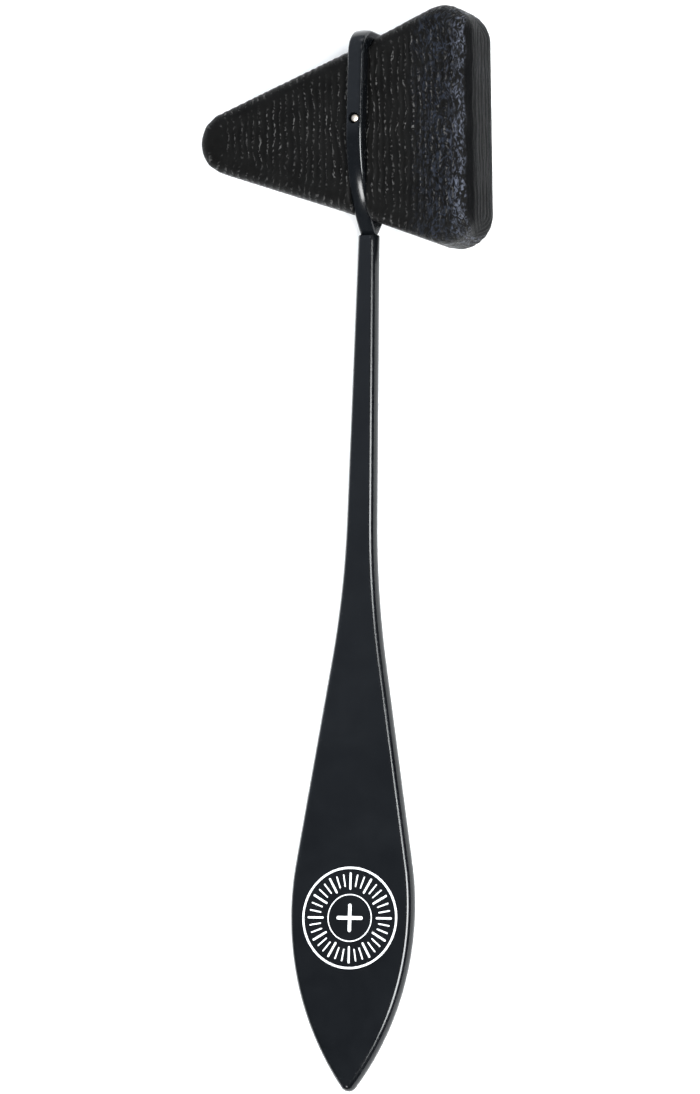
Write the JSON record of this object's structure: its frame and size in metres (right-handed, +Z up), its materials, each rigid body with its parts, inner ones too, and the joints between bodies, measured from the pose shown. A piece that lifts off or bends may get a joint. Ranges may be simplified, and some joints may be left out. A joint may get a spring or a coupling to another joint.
{
  "type": "reflex hammer",
  "caption": "Triangular-head reflex hammer: a wedge-shaped rubber head gripped in a loop at the top of a flat, leaf-bladed metal handle, held by a cross pin.",
  "frame": {"origin": "middle of the hammer's box, at the level surface that it lies on", "axes": "+Y along the handle from the blade's tip towards the head, +X towards the head's broad end, +Z up from the surface. The hammer lies as it comes to rest, so the handle climbs about 2.5 degrees towards the head and the printed face looks up, rolled about 3.4 degrees towards the broad end"},
  "size_m": [0.0546, 0.194, 0.0183],
  "materials": {
    "gloss_black_paint": "gloss black, smooth",
    "black_rubber": "satin black, fine moulded ribs",
    "nickel_plate": "bright, slightly warm",
    "white_ink": "printed white"
  },
  "bodies": {
    "root": {"handle": "gloss_black_paint", "rubber_head": "black_rubber", "cross_pin": "nickel_plate"}
  },
  "joints": []
}
